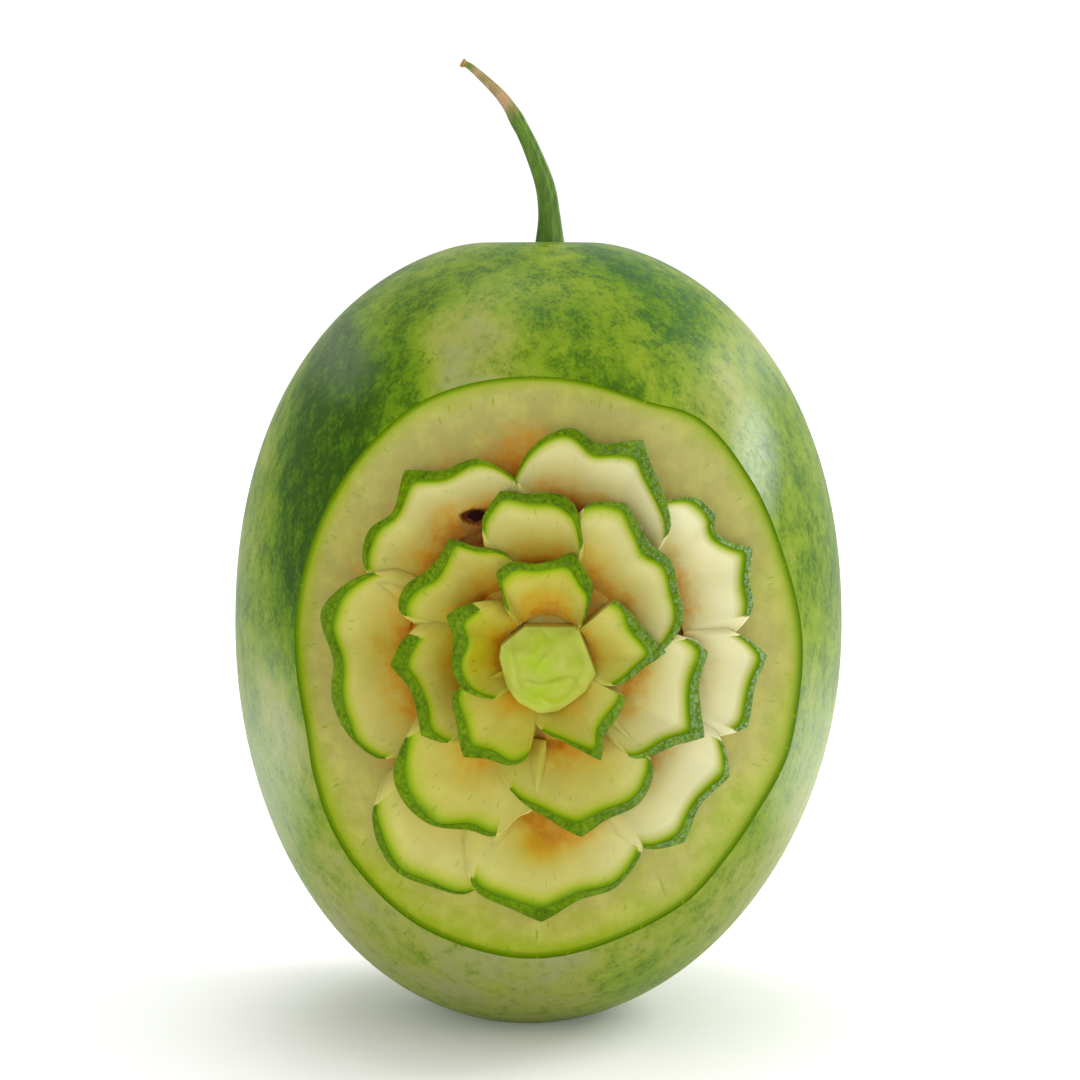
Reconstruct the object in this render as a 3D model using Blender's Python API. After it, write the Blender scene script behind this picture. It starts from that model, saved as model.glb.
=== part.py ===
"""Whole oval watermelon standing on end, with a layered flower carved into its front.

Metres, +Z up. The melon stands on a small flat spot at the world origin, its stalk on top,
and the flower faces -Y. The fruit, its carved petals and its stalk are one grown piece, so
they are one solid: the melon is turned, a shallow dish is cut out of its front, and petals,
bud and stalk are joined to what is left.

Places in the flower are given by a bearing, in degrees clockwise from straight up as seen
from the front, and a reach, in millimetres out from the flower's middle.
"""

import math

import bmesh
import bpy
from mathutils import Vector

MM = 0.001

# ---- the melon -----------------------------------------------------------------------------
GIRTH_RADIUS = 99.7 * MM
UPPER_HALF = 128.6 * MM         # widest girth up to the crown
LOWER_HALF = 131.0 * MM         # widest girth down to the round end, before the flat spot
SQUARENESS_UP = 2.2             # 2 is an ellipse, more is squarer in the shoulder
SQUARENESS_DOWN = 2.0
FLAT_SPOT = 2.8 * MM            # how much of the round end the resting spot takes off
GIRTH_Z = LOWER_HALF - FLAT_SPOT
LEAN = 3.6 * MM                 # the girth stands this far to +X of the resting spot
CROWN_DIP = 3.5 * MM            # hollow around the stalk
CROWN_DIP_RADIUS = 15.0 * MM
MELON_SECTORS = 52
MELON_RINGS = 25
CROWN_CROWDING = 1.25

# ---- the stalk -----------------------------------------------------------------------------
# Centre line as (offset to +X, height over the crown), then the radius there.
STALK = (
    ((3.8, -8.0), 6.2),
    ((3.8, -3.0), 5.6),
    ((3.7, 2.0), 4.5),
    ((3.5, 10.0), 3.5),
    ((2.3, 19.0), 3.1),
    ((-1.0, 28.6), 2.7),
    ((-5.5, 38.3), 2.3),
    ((-11.5, 48.0), 1.8),
    ((-21.0, 57.2), 1.15),
    ((-25.0, 59.6), 0.9),
)
STALK_SIDES = 9
STALK_STEPS = 2                 # lengths between two stations of the centre line

# ---- the dish cut into the front -----------------------------------------------------------
FLOWER_X = 6.0 * MM
FLOWER_Z = 129.0 * MM
DISH_EDGE = (
    (2, 84.6), (21, 83), (33, 85.6), (49, 82.3), (69, 79), (89, 80), (103, 81), (115, 83.2),
    (128, 83.8), (140, 86.6), (150, 90.4), (163, 92.4), (182, 96.4), (197, 95.8), (206, 94.8),
    (216, 92), (228, 88), (243, 81.6), (252, 78.2), (262, 77.4), (279, 78.2), (291, 79),
    (306, 81.2), (320, 83.6), (335, 86),
)
# Floor of the dish, from the middle outwards: reach, then depth under the skin.
DISH_FLOOR = ((0, 12.5), (15, 12.5), (27, 16.5), (44, 21), (56, 16), (68, 11))
DISH_LIP = 2.6                  # depth of the short steep wall at the dish's edge, mm
DISH_LIP_RUN = 1.6              # how far in from the edge that wall reaches, mm
DISH_SECTORS = 60

# A knife slip between two petals, a narrow pit running on into the flesh.
PIT_BEARING = 334.0
PIT_REACH = 47.0
PIT_RINGS = ((5.0, 2.2, 11.0), (4.4, 1.9, 23.0), (2.2, 0.9, 30.0))    # half sizes, then depth
PIT_SIDES = 10

# ---- the bud -------------------------------------------------------------------------------
BUD_CORNERS = ((33, 16), (97, 15), (140, 14.5), (183, 13.5), (240, 15), (299, 16), (340, 13.5))
# Rings of the bud from foot to tip: share of the outline, then depth under the skin.
BUD_RINGS = ((1.02, 19), (1.0, 14), (0.86, 5.5), (0.66, 2.4), (0.36, 1.2))
BUD_SECTORS = 18

# ---- the petals ----------------------------------------------------------------------------
# Each layer's groove, where the petals' inner faces end: reach, then depth under the skin.
GROOVES = {1: (16.0, 12.0), 2: (27.5, 16.0), 3: (45.0, 20.5)}
SCOOP = 0.35                    # how much shallower a groove is at its petal's ends, as a share
# Tips of each petal's rim as (bearing, reach), with a layer number first.
PETALS = (
    (1, (230, 17), (238, 20), (252, 26), (263, 28), (286, 29), (295, 33), (302, 31), (327, 21)),
    (1, (320, 17), (326, 23), (331, 31), (340, 32), (355, 30), (4, 31), (13, 34), (23, 30), (31, 27),
     (40, 18), (47, 12)),
    (1, (46, 20), (48, 28), (57, 29), (72, 31), (86, 36), (94, 29), (105, 24), (118, 16)),
    (1, (112, 20), (114, 26), (129, 27), (142, 28), (151, 34), (159, 28), (168, 24), (180, 21), (194, 18)),
    (1, (188, 19), (192, 30), (200, 33), (211, 34), (221, 38), (234, 33), (252, 29), (256, 22)),
    (2, (283, 38), (289, 47), (297, 48), (307, 45), (315, 45), (322, 47), (328, 41), (340, 35),
     (343, 28)),
    (2, (329, 34), (336, 47), (345, 53), (352, 51), (6, 50), (10, 48), (16, 39), (20, 33)),
    (2, (10, 42), (15, 49), (27, 53), (35, 49), (42, 47), (50, 48), (62, 45), (74, 43), (84, 36),
     (88, 29)),
    (2, (78, 37), (83, 45), (88, 49), (99, 47), (110, 50), (117, 54), (124, 47), (138, 40), (143, 33)),
    (2, (131, 37), (135, 46), (147, 52), (160, 52), (169, 55), (179, 48), (192, 42), (207, 34)),
    (2, (180, 37), (186, 46), (190, 48), (196, 56), (204, 57), (215, 62), (232, 59), (239, 51), (246, 42)),
    (2, (225, 34), (232, 40), (239, 44), (248, 42), (258, 42), (268, 47), (277, 44), (292, 36)),
    (3, (291, 54), (298, 63), (306, 66), (313, 64), (323, 71), (331, 65), (341, 64), (350, 56), (354, 50)),
    (3, (347, 51), (351, 57), (355, 63), (1, 68), (6, 70), (13, 67), (24, 72), (28, 67), (34, 62),
     (43, 55), (47, 46)),
    (3, (34, 55), (38, 61), (43, 66), (50, 67), (53, 64), (59, 66), (63, 71), (70, 66), (77, 65), (86, 56)),
    (3, (81, 54), (85, 61), (91, 68), (98, 65), (110, 66), (118, 56)),
    (3, (113, 55), (117, 61), (124, 68), (134, 66), (144, 72), (151, 68), (160, 58)),
    (3, (150, 62), (156, 69), (164, 75), (172, 76), (181, 83), (188, 79), (196, 76), (205, 62)),
    (3, (192, 66), (199, 78), (206, 80), (214, 82), (222, 78), (227, 73), (233, 62)),
    (3, (234, 51), (239, 60), (245, 64), (258, 67), (268, 65), (281, 70), (288, 66), (295, 60), (301, 52)),
)
SKIN_BAND = 3.4                 # width of the skin left along a rim, mm
BAND_SPREAD = 7                 # degrees over which a band's inner edge rounds off the tips
RIM_SAG = 0.07                 # how far a rim bows in between two tips, as a share of their gap
FACE_SAG = 0.04                 # how hollow a petal's inner face is, as a share of its length
FACE_ROWS = 2
UNDERCUT = 4.5                  # how much further in a petal's back is at its foot, mm
ROOT = 3.0                      # how far a petal's foot runs on into the flesh, mm
RIM_STEP = 9.0                  # longest straight piece of a rim, mm
LAPS = 3                        # neighbouring petals stand at this many slightly different heights
LAP_STEP = 0.35                 # from one such height to the next, mm
TUCK = 10.0                      # how far a rim dips under its neighbours at either end, mm


def clear_scene():
    for old in list(bpy.data.objects):
        bpy.data.objects.remove(old, do_unlink=True)


def paint(name, colour, roughness):
    """A plain surface colour for one sub-part."""
    made = bpy.data.materials.new(name)
    made.use_nodes = True
    shader = made.node_tree.nodes["Principled BSDF"]
    shader.inputs["Base Color"].default_value = (*colour, 1.0)
    shader.inputs["Roughness"].default_value = roughness
    shader.inputs["Metallic"].default_value = 0.0
    return made


def new_object(name, bm):
    mesh = bpy.data.meshes.new(name)
    bmesh.ops.triangulate(bm, faces=bm.faces)       # flat faces keep the cuts below exact
    bmesh.ops.recalc_face_normals(bm, faces=bm.faces)
    bm.to_mesh(mesh)
    bm.free()
    made = bpy.data.objects.new(name, mesh)
    bpy.context.scene.collection.objects.link(made)
    return made


def loft(bm, rings, wrap_rings=False):
    """Skin a list of equally long closed rings; the ends are capped unless the rings close up."""
    verts = [[bm.verts.new(point) for point in ring] for ring in rings]
    pairs = list(zip(verts, verts[1:]))
    if wrap_rings:
        pairs.append((verts[-1], verts[0]))
    for low, high in pairs:
        for j in range(len(low)):
            k = (j + 1) % len(low)
            bm.faces.new((low[j], low[k], high[k], high[j]))
    if not wrap_rings:
        bm.faces.new(verts[0])
        bm.faces.new(verts[-1])


# ---- shape of the melon --------------------------------------------------------------------
def melon_radius(z):
    """Radius of the turned melon at a height, leaving out the dip round the stalk."""
    above = z > GIRTH_Z
    half = UPPER_HALF if above else LOWER_HALF
    power = SQUARENESS_UP if above else SQUARENESS_DOWN
    share = min(abs(z - GIRTH_Z) / half, 1.0)
    return GIRTH_RADIUS * (1.0 - share ** power) ** (1.0 / power)


def melon_axis(z):
    """Sideways place of the melon's middle at a height: it bends over to the resting spot."""
    drop = max(GIRTH_Z - z, 0.0) / GIRTH_Z
    return LEAN * (1.0 - drop * drop)


def melon_profile(rings):
    """Radius and height from the resting spot up to the crown, closer together at the crown."""
    bottom = math.acos(-(GIRTH_Z / LOWER_HALF) ** (SQUARENESS_DOWN / 2.0))
    points = []
    for i in range(rings):
        turn = bottom * (1.0 - i / rings) ** CROWN_CROWDING
        above = turn < math.pi / 2
        half = UPPER_HALF if above else LOWER_HALF
        power = 2.0 / (SQUARENESS_UP if above else SQUARENESS_DOWN)
        radius = GIRTH_RADIUS * math.sin(turn) ** power
        z = GIRTH_Z + math.copysign(half * abs(math.cos(turn)) ** power, math.cos(turn))
        if above:
            z -= CROWN_DIP * math.exp(-(radius / CROWN_DIP_RADIUS) ** 2)
        points.append((radius, z if i else 0.0))
    return points


def skin_point(bearing, reach, depth=0.0):
    """A point in the flower, a given depth straight in (+Y) from the melon's skin."""
    angle = math.radians(bearing)
    x = FLOWER_X + reach * MM * math.sin(angle)
    z = FLOWER_Z + reach * MM * math.cos(angle)
    across = x - melon_axis(z)
    y = -math.sqrt(max(melon_radius(z) ** 2 - across ** 2, 0.0))
    return Vector((x, y + depth * MM, z))


def turned_melon():
    bm = bmesh.new()
    rings = []
    for radius, z in melon_profile(MELON_RINGS):
        ring = []
        for j in range(MELON_SECTORS):
            angle = 2.0 * math.pi * j / MELON_SECTORS
            ring.append((melon_axis(z) + radius * math.cos(angle), radius * math.sin(angle), z))
        rings.append(ring)
    loft(bm, rings)
    return new_object("carved_melon", bm)


# ---- interpolation between named places ----------------------------------------------------
def round_outline(places, bearing):
    """Smooth closed outline through (bearing, reach) places, read at one bearing."""
    count = len(places)
    after = next((i for i in range(count) if places[i][0] > bearing), 0)
    ids = [(after + k) % count for k in (-2, -1, 0, 1)]
    start, end = places[ids[1]][0], places[ids[2]][0]
    gap = (end - start) % 360 or 360
    t = ((bearing - start) % 360) / gap
    a, b, c, d = (places[i][1] for i in ids)
    return b + 0.5 * t * (c - a + t * (2 * a - 5 * b + 4 * c - d + t * (3 * (b - c) + d - a)))


def along(table, at):
    """Straight-line reading of a table of (place, value)."""
    for (a, low), (b, high) in zip(table, table[1:]):
        if at <= b:
            return low + (high - low) * max(at - a, 0.0) / (b - a)
    return table[-1][1]


# ---- the dish ------------------------------------------------------------------------------
def floor_depth(bearing, reach):
    """Depth of the dish's floor under the skin, running out to nothing at the dish's edge."""
    edge = round_outline(DISH_EDGE, bearing % 360)
    lip = ((edge - DISH_LIP_RUN, DISH_LIP), (edge + DISH_LIP_RUN, -DISH_LIP))
    return along(DISH_FLOOR + lip, reach)


def dish_cutter():
    """What is taken out of the melon's front: the dish's floor below, a flat lid in front."""
    bm = bmesh.new()
    bearings = [360.0 * j / DISH_SECTORS for j in range(DISH_SECTORS)]
    rings = []
    for reach, _ in DISH_FLOOR[1:]:
        rings.append([skin_point(b, reach, floor_depth(b, reach)) for b in bearings])
    for past in (-DISH_LIP_RUN, DISH_LIP_RUN):
        reaches = [(b, round_outline(DISH_EDGE, b) + past) for b in bearings]
        rings.append([skin_point(b, r, floor_depth(b, r)) for b, r in reaches])
    rings.append([Vector((p.x, -1.4 * GIRTH_RADIUS, p.z)) for p in rings[-1]])
    loft(bm, rings)
    return new_object("dish_cutter", bm)


def pit_cutter():
    """The knife slip: flat ovals lying across the flower, shrinking as they go in."""
    bm = bmesh.new()
    middle = skin_point(PIT_BEARING, PIT_REACH)
    rings = []
    for wide, high, depth in PIT_RINGS:
        turns = [2.0 * math.pi * j / PIT_SIDES for j in range(PIT_SIDES)]
        rings.append([middle + MM * Vector((wide * math.cos(a), depth, high * math.sin(a)))
                      for a in turns])
    loft(bm, rings)
    return new_object("pit_cutter", bm)


# ---- bud and petals ------------------------------------------------------------------------
def bud():
    bm = bmesh.new()
    rings = []
    for share, depth in BUD_RINGS:
        ring = []
        for j in range(BUD_SECTORS):
            bearing = 360.0 * j / BUD_SECTORS
            ring.append(skin_point(bearing, share * round_outline(BUD_CORNERS, bearing), depth))
        rings.append(ring)
    loft(bm, rings)
    return new_object("bud", bm)


def unwound(tips):
    """The same tips with bearings that only grow, past 360 where a petal crosses the top."""
    places = [tips[0]]
    for bearing, reach in tips[1:]:
        places.append((bearing + 360 * (bearing < tips[0][0]), reach))
    return places


def rim_stations(tips):
    """Bearing, reach and tuck along a rim, bowed in a little between each two tips."""
    stations = []
    last = len(tips) - 2
    for n, ((b0, r0), (b1, r1)) in enumerate(zip(tips, tips[1:])):
        gap = math.hypot(r1 - r0, math.radians(b1 - b0) * 0.5 * (r0 + r1))
        steps = max(1, math.ceil(gap / RIM_STEP))
        for i in range(steps + (n == last)):
            t = i / steps
            bow = RIM_SAG * gap * 4.0 * t * (1.0 - t)
            tuck = TUCK * ((n == 0) * (1.0 - t) ** 3 + (n == last) * t ** 3)
            stations.append((b0 + (b1 - b0) * t, r0 + (r1 - r0) * t - bow, tuck))
    return stations


def band_edge(tips, bearing, reach):
    """Reach of the skin band's inner edge, which rounds off the rim's tips."""
    near = [along(tips, min(max(bearing + turn, tips[0][0]), tips[-1][0]))
            for turn in (-BAND_SPREAD, 0, BAND_SPREAD)]
    return min(sum(near) / 3.0, reach) - SKIN_BAND


def petal_section(layer, tips, bearing, reach, lap):
    """One closed cut across a petal: skin band, hollow inner face, foot, undercut back."""
    inner = band_edge(tips, bearing, reach)
    groove, groove_depth = GROOVES[layer]
    foot_depth = groove_depth + ROOT + 3.0
    from_middle = 2.0 * (bearing - tips[0][0]) / (tips[-1][0] - tips[0][0]) - 1.0
    groove_depth *= 1.0 - SCOOP * from_middle * from_middle
    foot = min(groove, inner - 2.0)
    ring = [skin_point(bearing, reach, lap)]
    for i in range(FACE_ROWS + 1):
        t = i / FACE_ROWS
        hollow = FACE_SAG * groove_depth * 4.0 * t * (1.0 - t)
        depth = lap + (groove_depth - lap) * t + hollow
        ring.append(skin_point(bearing, inner + (foot - inner) * t, depth))
    ring.append(skin_point(bearing, foot, foot_depth))
    back = max(reach - UNDERCUT, foot + 0.8)
    ring.append(skin_point(bearing, back, floor_depth(bearing, back) + ROOT))
    return ring


def petal(number, layer, tips):
    bm = bmesh.new()
    tips = unwound(tips)
    lap = 0.2 + LAP_STEP * (number % LAPS)
    loft(bm, [petal_section(layer, tips, bearing, reach, lap + tuck)
              for bearing, reach, tuck in rim_stations(tips)])
    return new_object(f"petal_{number}", bm)


# ---- stalk ---------------------------------------------------------------------------------
def smooth_path(values, steps):
    """Catmull-Rom curve through equally spaced values."""
    ends = [values[0] * 2 - values[1], *values, values[-1] * 2 - values[-2]]
    path = []
    for i in range(1, len(ends) - 2):
        a, b, c, d = ends[i - 1:i + 3]
        for k in range(steps):
            t = k / steps
            path.append(b + (c - a) * (0.5 * t) + (a * 2 - b * 5 + c * 4 - d) * (0.5 * t * t)
                        + (b * 3 - c * 3 + d - a) * (0.5 * t * t * t))
    path.append(values[-1])
    return path


def stalk():
    """The stalk as one bent, tapering stem, its foot set in the crown's dip."""
    bm = bmesh.new()
    crown = GIRTH_Z + UPPER_HALF - CROWN_DIP
    axis = melon_axis(crown)
    stations = [Vector((axis + x * MM, 0.0, crown + z * MM, r * MM)) for (x, z), r in STALK]
    path = smooth_path(stations, STALK_STEPS)
    rings = []
    for i, station in enumerate(path):
        before = path[max(i - 1, 0)]
        after = path[min(i + 1, len(path) - 1)]
        heading = Vector(after[:3]) - Vector(before[:3])
        side = Vector((heading.z, 0.0, -heading.x)).normalized()
        front = Vector((0.0, 1.0, 0.0))
        ring = []
        for j in range(STALK_SIDES):
            angle = 2.0 * math.pi * j / STALK_SIDES
            ring.append(Vector(station[:3]) + station[3] * (side * math.cos(angle)
                                                            + front * math.sin(angle)))
        rings.append(ring)
    loft(bm, rings)
    return new_object("stalk", bm)


# ---- joining -------------------------------------------------------------------------------
def combine(target, tool, operation, solver="EXACT"):
    """Cut or join one solid with another, then drop the tool."""
    step = target.modifiers.new(operation.lower(), "BOOLEAN")
    step.object = tool
    step.operation = operation
    step.solver = solver
    bpy.context.view_layer.update()
    graph = bpy.context.evaluated_depsgraph_get()
    result = bpy.data.meshes.new_from_object(target.evaluated_get(graph))
    target.modifiers.clear()
    target.data = result
    bpy.data.objects.remove(tool, do_unlink=True)


def fill_pockets(target):
    """Keep only the outer shell, which fills any sealed pocket between two petals."""
    bm = bmesh.new()
    bm.from_mesh(target.data)
    left = set(bm.faces)
    shells = []
    while left:
        shell = {left.pop()}
        front = list(shell)
        while front:
            face = front.pop()
            new = {other for edge in face.edges for other in edge.link_faces} & left
            left -= new
            shell |= new
            front.extend(new)
        shells.append(shell)
    shells.sort(key=len)
    inner = [face for shell in shells[:-1] for face in shell]
    bmesh.ops.delete(bm, geom=inner, context="FACES")
    bm.to_mesh(target.data)
    bm.free()


def build():
    clear_scene()
    melon = turned_melon()
    combine(melon, dish_cutter(), "DIFFERENCE")
    combine(melon, stalk(), "UNION")
    combine(melon, bud(), "UNION")
    # The petals lap each other with skins almost level, which leaves EXACT with open edges.
    for number, (layer, *tips) in enumerate(PETALS):
        combine(melon, petal(number, layer, tips), "UNION", solver="MANIFOLD")
    combine(melon, pit_cutter(), "DIFFERENCE", solver="MANIFOLD")
    fill_pockets(melon)
    melon.data.name = melon.name
    melon.data.materials.clear()
    melon.data.materials.append(paint("watermelon_rind", (0.19, 0.30, 0.05), 0.35))


build()
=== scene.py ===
"""Looks of the carved watermelon: waxy mottled rind, moist cut flesh, twenty petals, bud, stalk.

Metres, +Z up, the flower facing -Y. Places in the flower are a bearing in degrees clockwise
from straight up, as seen from the front, and a reach in millimetres from its middle.
"""

import math

import bmesh
import bpy
import numpy as np
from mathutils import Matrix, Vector, noise


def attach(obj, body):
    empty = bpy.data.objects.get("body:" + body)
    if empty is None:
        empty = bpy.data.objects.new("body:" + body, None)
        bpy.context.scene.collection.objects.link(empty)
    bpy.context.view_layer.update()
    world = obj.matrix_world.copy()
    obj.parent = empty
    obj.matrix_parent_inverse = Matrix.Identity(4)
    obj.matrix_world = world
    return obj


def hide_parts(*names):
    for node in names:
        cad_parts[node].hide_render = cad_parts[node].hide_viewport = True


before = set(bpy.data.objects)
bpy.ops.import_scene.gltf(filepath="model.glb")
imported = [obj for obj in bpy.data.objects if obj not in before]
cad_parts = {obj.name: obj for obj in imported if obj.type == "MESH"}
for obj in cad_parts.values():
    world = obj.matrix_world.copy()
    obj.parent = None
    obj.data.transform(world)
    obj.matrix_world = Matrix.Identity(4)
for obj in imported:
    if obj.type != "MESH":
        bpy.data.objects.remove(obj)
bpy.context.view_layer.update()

MM = 0.001

# ---- sizes shared with the solid -----------------------------------------------------------
GIRTH_RADIUS = 99.7 * MM
UPPER_HALF = 128.6 * MM
LOWER_HALF = 131.0 * MM
SQUARENESS_UP = 2.2
SQUARENESS_DOWN = 2.0
FLAT_SPOT = 2.8 * MM
GIRTH_Z = LOWER_HALF - FLAT_SPOT
LEAN = 3.6 * MM
CROWN_DIP = 3.5 * MM
CROWN_DIP_RADIUS = 15.0 * MM

# The stalk's line from its buried foot to its tip: (across, up) in mm from the crown, radius.
STALK = (
    ((3.8, -8.0), 6.2),
    ((3.8, -3.0), 5.6),
    ((3.7, 2.0), 4.5),
    ((3.5, 10.0), 3.5),
    ((2.3, 19.0), 3.1),
    ((-1.0, 28.6), 2.7),
    ((-5.5, 38.3), 2.3),
    ((-11.5, 48.0), 1.8),
    ((-21.0, 57.2), 1.15),
    ((-25.0, 59.6), 0.9),
)

FLOWER_X = 6.0 * MM
FLOWER_Z = 129.0 * MM
# The peeled dish: bearing and reach of its edge, then reach and depth of its floor.
DISH_EDGE = (
    (2, 84.6), (21, 83), (33, 85.6), (49, 82.3), (69, 79), (89, 80), (103, 81), (115, 83.2),
    (128, 83.8), (140, 86.6), (150, 90.4), (163, 92.4), (182, 96.4), (197, 95.8), (206, 94.8),
    (216, 92), (228, 88), (243, 81.6), (252, 78.2), (262, 77.4), (279, 78.2), (291, 79),
    (306, 81.2), (320, 83.6), (335, 86),
)
MEAN_REACH = 85.0               # mean reach of the edge, mm
DISH_FLOOR = ((0, 12.5), (15, 12.5), (27, 16.5), (44, 21), (56, 16), (68, 11))
DISH_LIP = 2.6                  # depth at which the floor meets the lip, mm
DISH_LIP_RUN = 1.6              # how far the lip leans out on its way up to the skin, mm
DISH_SWELL = 0.9                # how much the peeled ring hollows between flower and lip, mm
# The slip where the knife went through one petal to the heart.
PIT_BEARING = 334.0
PIT_REACH = 47.0
PIT_HALF_WIDTH = 5.0
PIT_HALF_HEIGHT = 2.2
PIT_EDGE = 1.15                 # where it starts, as a share of its half width and height
PIT_SOFTNESS = 0.6              # how far in from there it is fully a pit, on the same scale

# Grooves in front of each layer of petals: reach and depth in mm.
GROOVES = {1: (16.0, 12.0), 2: (27.5, 16.0), 3: (45.0, 20.5)}
SCOOP = 0.35                    # how much shallower a groove is at its petal's ends
# Petals: layer, then the bearing and reach of each corner and hollow along the rim.
PETALS = (
    (1, (230, 17), (238, 20), (252, 26), (263, 28), (286, 29), (295, 33), (302, 31), (327, 21)),
    (1, (320, 17), (326, 23), (331, 31), (340, 32), (355, 30), (4, 31), (13, 34), (23, 30), (31, 27),
     (40, 18), (47, 12)),
    (1, (46, 20), (48, 28), (57, 29), (72, 31), (86, 36), (94, 29), (105, 24), (118, 16)),
    (1, (112, 20), (114, 26), (129, 27), (142, 28), (151, 34), (159, 28), (168, 24), (180, 21),
     (194, 18)),
    (1, (188, 19), (192, 30), (200, 33), (211, 34), (221, 38), (234, 33), (252, 29), (256, 22)),
    (2, (283, 38), (289, 47), (297, 48), (307, 45), (315, 45), (322, 47), (328, 41), (340, 35),
     (343, 28)),
    (2, (329, 34), (336, 47), (345, 53), (352, 51), (6, 50), (10, 48), (16, 39), (20, 33)),
    (2, (10, 42), (15, 49), (27, 53), (35, 49), (42, 47), (50, 48), (62, 45), (74, 43), (84, 36),
     (88, 29)),
    (2, (78, 37), (83, 45), (88, 49), (99, 47), (110, 50), (117, 54), (124, 47), (138, 40),
     (143, 33)),
    (2, (131, 37), (135, 46), (147, 52), (160, 52), (169, 55), (179, 48), (192, 42), (207, 34)),
    (2, (180, 37), (186, 46), (190, 48), (196, 56), (204, 57), (215, 62), (232, 59), (239, 51),
     (246, 42)),
    (2, (225, 34), (232, 40), (239, 44), (248, 42), (258, 42), (268, 47), (277, 44), (292, 36)),
    (3, (291, 54), (298, 63), (306, 66), (313, 64), (323, 71), (331, 65), (341, 64), (350, 56),
     (354, 50)),
    (3, (347, 51), (351, 57), (355, 63), (1, 68), (6, 70), (13, 67), (24, 72), (28, 67), (34, 62),
     (43, 55), (47, 46)),
    (3, (34, 55), (38, 61), (43, 66), (50, 67), (53, 64), (59, 66), (63, 71), (70, 66), (77, 65),
     (86, 56)),
    (3, (81, 54), (85, 61), (91, 68), (98, 65), (110, 66), (118, 56)),
    (3, (113, 55), (117, 61), (124, 68), (134, 66), (144, 72), (151, 68), (160, 58)),
    (3, (150, 62), (156, 69), (164, 75), (172, 76), (181, 83), (188, 79), (196, 76), (205, 62)),
    (3, (192, 66), (199, 78), (206, 80), (214, 82), (222, 78), (227, 73), (233, 62)),
    (3, (234, 51), (239, 60), (245, 64), (258, 67), (268, 65), (281, 70), (288, 66), (295, 60),
     (301, 52)),
)
# Width in mm of the skin left along each petal's rim, at bearings along it.
SKIN_WIDTHS = (
    ((238, 1.0), (252, 2.3), (273, 2.9), (286, 4.8), (292, 5.0), (302, 4.4), (310, 3.2), (322, 1.6)),
    ((326, 2.4), (335, 2.6), (355, 2.2), (6, 2.4), (13, 4.0), (23, 4.4), (31, 3.0), (40, 1.2)),
    ((48, 0.8), (57, 1.2), (66, 3.4), (79, 4.0), (87, 5.0), (96, 2.8), (105, 2.0), (114, 1.0)),
    ((114, 1.5), (129, 3.2), (142, 3.0), (151, 3.4), (159, 1.8), (168, 1.2), (180, 0.8), (190, 0.5)),
    ((192, 0.7), (199, 1.0), (208, 3.0), (219, 4.2), (234, 3.1), (246, 2.0), (253, 1.2)),
    ((286, 1.4), (292, 2.2), (299, 3.2), (307, 4.2), (315, 3.0), (322, 2.0), (330, 1.6), (337, 1.0)),
    ((335, 1.6), (343, 2.0), (352, 2.6), (2, 3.3), (8, 4.2), (12, 3.0), (16, 2.2)),
    ((14, 0.8), (22, 1.2), (28, 2.2), (36, 3.0), (41, 4.0), (50, 2.8), (66, 2.4), (79, 3.2), (84, 2.2)),
    ((81, 0.8), (88, 2.0), (99, 3.0), (110, 4.0), (117, 5.0), (124, 4.0), (132, 2.4), (139, 1.2)),
    ((135, 2.2), (147, 2.6), (160, 3.4), (169, 4.6), (175, 3.0), (182, 2.6), (190, 0.8), (200, 0.6)),
    ((196, 0.8), (203, 2.4), (208, 2.2), (213, 0.8), (218, 2.4), (224, 3.2), (230, 4.4), (235, 4.0),
     (240, 1.2)),
    ((228, 0.6), (232, 1.4), (239, 3.0), (248, 3.6), (258, 3.4), (268, 4.8), (277, 4.5), (287, 2.4)),
    ((293, 1.0), (298, 1.6), (303, 2.6), (310, 1.4), (316, 2.0), (323, 4.0), (330, 3.0), (338, 1.7),
     (347, 0.8)),
    ((351, 0.8), (358, 1.3), (4, 1.7), (9, 3.2), (13, 4.0), (18, 3.6), (24, 5.6), (29, 4.4), (35, 3.4),
     (42, 2.0)),
    ((38, 0.6), (43, 1.2), (50, 2.1), (59, 1.6), (63, 2.2), (70, 2.0), (77, 2.0), (83, 1.0)),
    ((84, 1.0), (91, 1.8), (98, 1.8), (110, 2.4), (116, 1.0)),
    ((116, 1.0), (124, 1.8), (134, 2.2), (144, 3.4), (151, 1.6), (158, 0.8)),
    ((155, 1.2), (164, 1.8), (172, 2.6), (181, 5.0), (188, 3.0), (196, 2.2), (202, 1.2)),
    ((198, 0.6), (203, 1.0), (208, 1.9), (213, 1.5), (218, 2.6), (223, 3.0), (229, 1.3)),
    ((240, 0.7), (246, 1.0), (251, 2.8), (258, 3.6), (268, 3.0), (276, 3.4), (281, 4.4), (288, 2.2),
     (296, 1.1)),
)
WALL = 3.0                      # pale wall just under the skin, mm
HEART_NEARER = {1: 1.75, 2: 1.35, 3: 1.05}      # the heart flesh lies nearer in the inner layers
BARE_DEPTH = 7.0                # colour depth of a petal's edge where it has no skin, mm
LAYER_NAMES = {1: "inner_petals", 2: "middle_petals", 3: "outer_petals"}
UNDERCUT = 4.5                  # how far behind its rim a petal's back is cut in, mm
ROOT = 3.0                      # how far a petal's foot runs down into the melon, mm
FOOT_RUN = 2.6                  # how far a petal's face runs on under the next layer, mm
LAPS = 3                        # neighbouring rims lie at this many depths, so none coincide
LAP_STEP = 0.35
FIRST_LAP = 0.2
TUCK = 10.0                     # how far a rim dips under its neighbour at either end, mm
TUCK_FROM = 0.2                 # where along its last straight the rim starts to dip

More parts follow.
